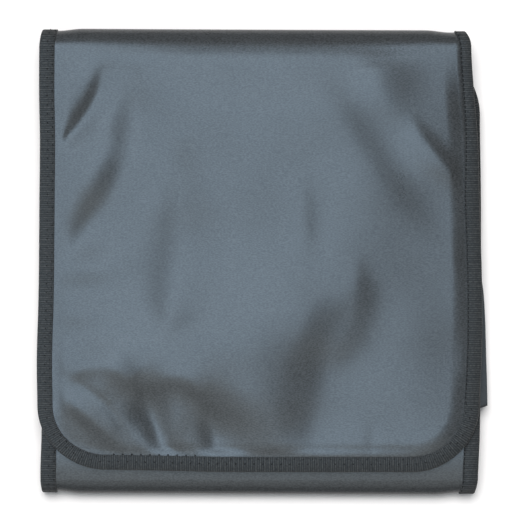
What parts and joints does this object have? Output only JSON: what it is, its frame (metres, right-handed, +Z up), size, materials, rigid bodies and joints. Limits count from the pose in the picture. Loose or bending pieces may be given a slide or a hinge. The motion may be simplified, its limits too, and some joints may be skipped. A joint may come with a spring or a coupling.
{
  "type": "knife roll",
  "caption": "Closed cook's knife roll: a long sheet of coated cloth folded in three, edged all round with ribbed tape, holding knives between its layers",
  "frame": {"origin": "middle of the footprint at the height of the surface that the closed roll lies on", "axes": "+Z up through the layers, +Y towards the top fold that the front flap turns over, +X to the right as seen from above the flap"},
  "size_m": [0.3597, 0.3725, 0.0289],
  "materials": {
    "coated_cloth": "black coated cloth with a fine pebble grain and a soft sheen",
    "woven_tape": "matt black ribbed tape",
    "inner_cloth": "thinner black coated cloth, smooth"
  },
  "bodies": {
    "root": {"cover": "coated_cloth", "edge_binding": "woven_tape", "inner_flap": "inner_cloth"}
  },
  "joints": []
}
